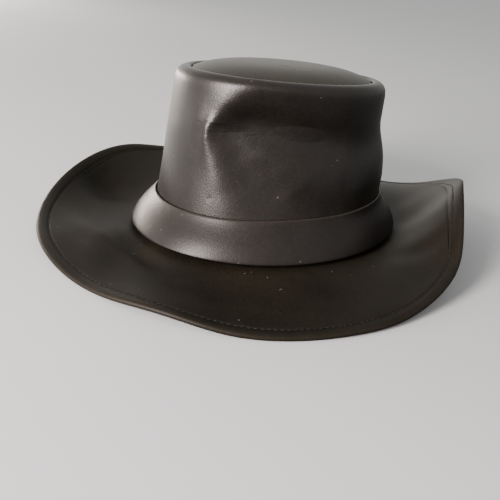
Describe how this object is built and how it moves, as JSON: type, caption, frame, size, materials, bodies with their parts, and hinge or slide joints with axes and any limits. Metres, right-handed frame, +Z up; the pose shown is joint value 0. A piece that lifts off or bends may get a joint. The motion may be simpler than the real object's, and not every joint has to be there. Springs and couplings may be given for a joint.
{
  "type": "leather hat",
  "caption": "Wide-brimmed leather hat with a tall dented crown, a domed tip, a flared hat band and a wavy brim with a stitched hem.",
  "frame": {"origin": "middle of the hat's plan, on the surface that its brim rests on", "axes": "+Z up, the front of the hat toward -Y, the wearer's left toward +X"},
  "size_m": [0.3376, 0.3796, 0.1427],
  "materials": {
    "crown_leather": "very dark brown, semi-gloss, worn soft",
    "tip_leather": "very dark olive brown, satin",
    "brim_leather": "very dark brown, satin",
    "band_leather": "very dark brown, semi-gloss"
  },
  "bodies": {
    "root": {"crown_side": "crown_leather", "crown_tip": "tip_leather", "brim": "brim_leather", "hat_band": "band_leather"}
  },
  "joints": []
}
